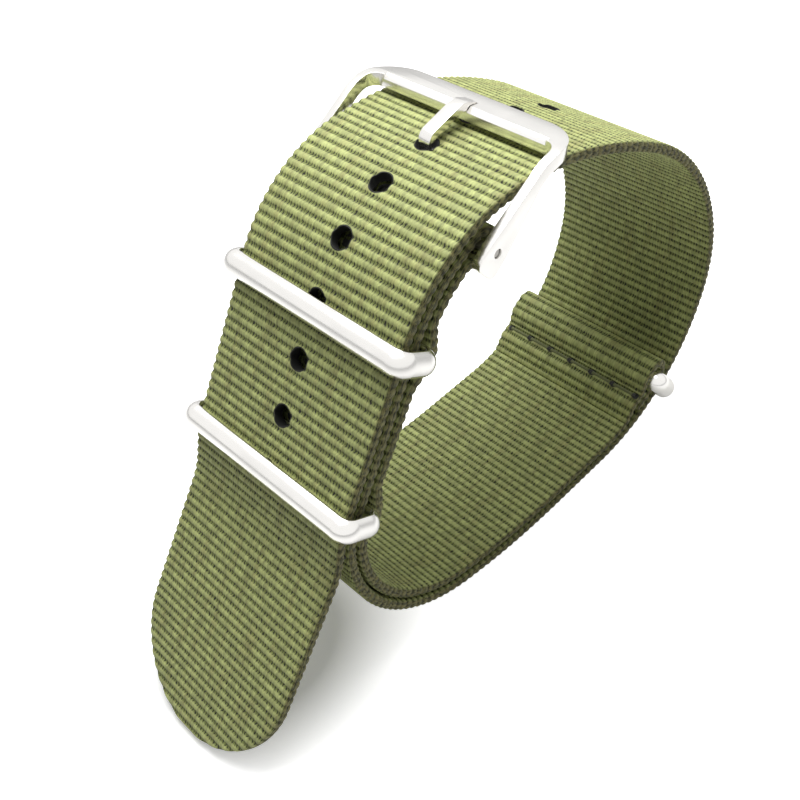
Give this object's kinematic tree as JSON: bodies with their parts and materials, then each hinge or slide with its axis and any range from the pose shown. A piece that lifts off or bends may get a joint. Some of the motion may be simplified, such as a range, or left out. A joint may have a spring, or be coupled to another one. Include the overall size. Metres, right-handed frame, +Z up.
{
  "type": "watch strap",
  "caption": "Pass-through woven webbing watch strap, closed into a loop, with a pin buckle, keeper rings and a sprung pin.",
  "frame": {"origin": "on the table, in the middle of the strap's width and of its length from the tail's tip to the back of the loop", "axes": "+X across the webbing, +Y from the tail towards the back of the loop, +Z up from the table"},
  "size_m": [0.0252, 0.0786, 0.0519],
  "materials": {
    "webbing": "woven polyamide with cross ribs, heat-cut edges",
    "thread": "twisted polyester sewing thread",
    "steel": "satin polished",
    "spring_steel": "drawn"
  },
  "bodies": {
    "strap": {"main_strap": "webbing", "short_strap": "webbing", "seam_buckle_fold": "thread", "seam_short_start": "thread", "seam_upper_pocket": "thread", "seam_lower_pocket_top": "thread", "seam_lower_pocket_end": "thread", "seam_end_fold": "thread"},
    "upper_keeper": {"keeper_ring_upper": "steel"},
    "lower_keeper": {"keeper_ring_lower": "steel"},
    "end_keeper": {"end_ring": "steel"},
    "buckle": {"buckle_frame": "steel", "spring_bar_tube": "spring_steel", "spring_bar_spring": "spring_steel"},
    "tongue": {"buckle_tongue": "steel"},
    "pin_tip_right": {"spring_bar_tip_right": "spring_steel"},
    "pin_tip_left": {"spring_bar_tip_left": "spring_steel"}
  },
  "joints": [
    {"name": "keeper_upper_tilt", "type": "hinge", "parent": "strap", "child": "upper_keeper", "pos_m": [0, -0.00814, 0.03898], "axis": [1, 0, 0], "range_deg": [-6, 6]},
    {"name": "keeper_lower_tilt", "type": "hinge", "parent": "strap", "child": "lower_keeper", "pos_m": [0, -0.01739, 0.02527], "axis": [1, 0, 0], "range_deg": [-6, 6]},
    {"name": "end_ring_tilt", "type": "hinge", "parent": "strap", "child": "end_keeper", "pos_m": [0, 0.02877, 0.00668], "axis": [1, 0, 0], "range_deg": [-6, 6]},
    {"name": "buckle_pivot", "type": "hinge", "parent": "strap", "child": "buckle", "pos_m": [0, 0.0002, 0.04595], "axis": [1, 0, 0], "range_deg": [-1, 1.5]},
    {"name": "tongue_pivot", "type": "hinge", "parent": "buckle", "child": "tongue", "pos_m": [0, 0.0002, 0.04595], "axis": [1, 0, 0], "range_deg": [0, 1.5]},
    {"name": "pin_tip_right_slide", "type": "slide", "parent": "buckle", "child": "pin_tip_right", "axis": [-1, 0, 0], "range_m": [0, 0.0011], "stiffness_N_per_m": 1500, "springref_m": -0.0005},
    {"name": "pin_tip_left_slide", "type": "slide", "parent": "buckle", "child": "pin_tip_left", "axis": [1, 0, 0], "range_m": [0, 0.0011], "stiffness_N_per_m": 1500, "springref_m": -0.0005, "deforming": ["spring_bar_spring"]}
  ]
}
